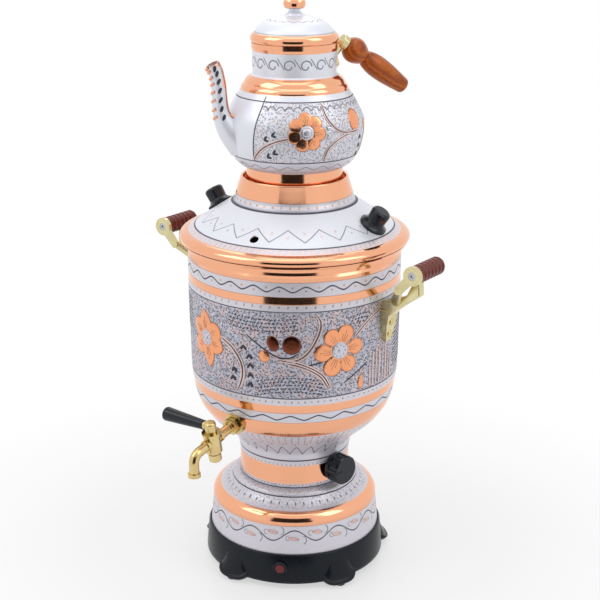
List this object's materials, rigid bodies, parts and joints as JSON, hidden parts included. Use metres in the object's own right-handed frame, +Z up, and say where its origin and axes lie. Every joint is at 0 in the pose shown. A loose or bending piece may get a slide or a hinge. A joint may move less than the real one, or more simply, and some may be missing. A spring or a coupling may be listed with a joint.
{
  "type": "electric samovar",
  "caption": "Electric samovar: an engraved copper tank on a black base with a brass tap, a lift-off lid with a collar, and a small teapot that stands in the collar.",
  "frame": {"origin": "on the vertical axis of the tank, in the flat underside of the base cover, 5 mm above the surface that the foot pads stand on", "axes": "+Z up, -Y the way the tap points, +X the right handle seen from the tap's side"},
  "size_m": [0.2838, 0.2481, 0.513],
  "materials": {
    "copper": "bright polished copper, tinned and engraved in bands",
    "brass": "polished cast brass",
    "black_plastic": "black phenolic plastic",
    "pale_plastic": "pale insulating plastic",
    "black_rubber": "black rubber",
    "steel": "zinc-plated steel",
    "red_lens": "clear red plastic",
    "dark_wood": "dark red-brown varnished wood",
    "pale_wood": "varnished orange-brown wood"
  },
  "bodies": {
    "samovar": {"base_bolts": "steel", "base_cover": "black_plastic", "base_cover_screws": "steel", "base_moulding": "black_plastic", "bracket_rivets": "brass", "cable_gland": "black_plastic", "element_bolts": "steel", "element_flange": "brass", "element_gasket": "black_rubber", "element_nuts": "steel", "flange_nuts": "steel", "foot_pads": "black_rubber", "gland_nut": "black_plastic", "handle_bracket_left": "brass", "handle_bracket_right": "brass", "handle_grip_left": "dark_wood", "handle_grip_right": "dark_wood", "handle_screw_left": "steel", "handle_screw_right": "steel", "heating_element": "steel", "internal_leads": "pale_plastic", "lamp_bezel": "black_plastic", "lamp_body": "pale_plastic", "lamp_lens": "red_lens", "neck_bolts": "steel", "neck_shell": "copper", "pedestal_shell": "copper", "tank_shell": "copper", "tap_body": "brass", "tap_escutcheon": "brass", "tap_lock_nut": "steel", "tap_seal": "black_rubber", "terminal_block": "pale_plastic", "terminal_screws": "brass", "thermal_cutout": "steel", "thermostat_body": "pale_plastic", "thermostat_nut": "steel", "thermostat_probe": "steel"},
    "tap_key": {"tap_plug": "brass", "tap_plug_nut": "brass", "tap_lever": "brass", "tap_lever_grip": "black_plastic"},
    "thermostat_key": {"thermostat_shaft": "steel", "thermostat_knob": "black_plastic"},
    "lid": {"lid_shell": "copper", "collar": "copper", "lid_knob_left": "black_plastic", "lid_knob_right": "black_plastic", "lid_knob_screws": "steel"},
    "teapot": {"teapot_body": "copper", "teapot_foot_ring": "copper", "teapot_spout": "copper", "teapot_handle_socket": "brass", "socket_rivets": "brass", "teapot_handle": "pale_wood", "teapot_handle_stud": "steel"},
    "teapot_cover": {"teapot_lid": "copper", "teapot_lid_knob": "brass", "teapot_lid_nut": "steel"}
  },
  "joints": [
    {"name": "tap_turn", "type": "hinge", "parent": "samovar", "child": "tap_key", "pos_m": [0, -0.11746, 0.14454], "axis": [0, -0.1857, 0.9826], "range_deg": [0, 90]},
    {"name": "thermostat_turn", "type": "hinge", "parent": "samovar", "child": "thermostat_key", "pos_m": [0.05909, -0.01042, 0.0945], "axis": [0.9848, -0.1736, 0], "range_deg": [0, 270]},
    {"name": "lid_lift", "type": "slide", "parent": "samovar", "child": "lid", "axis": [0, 0, 1], "range_m": [0, 0.12]},
    {"name": "teapot_lift", "type": "slide", "parent": "lid", "child": "teapot", "axis": [0, 0, 1], "range_m": [0, 0.12]},
    {"name": "teapot_lid_lift", "type": "slide", "parent": "teapot", "child": "teapot_cover", "axis": [0, 0, 1], "range_m": [0, 0.06]}
  ]
}
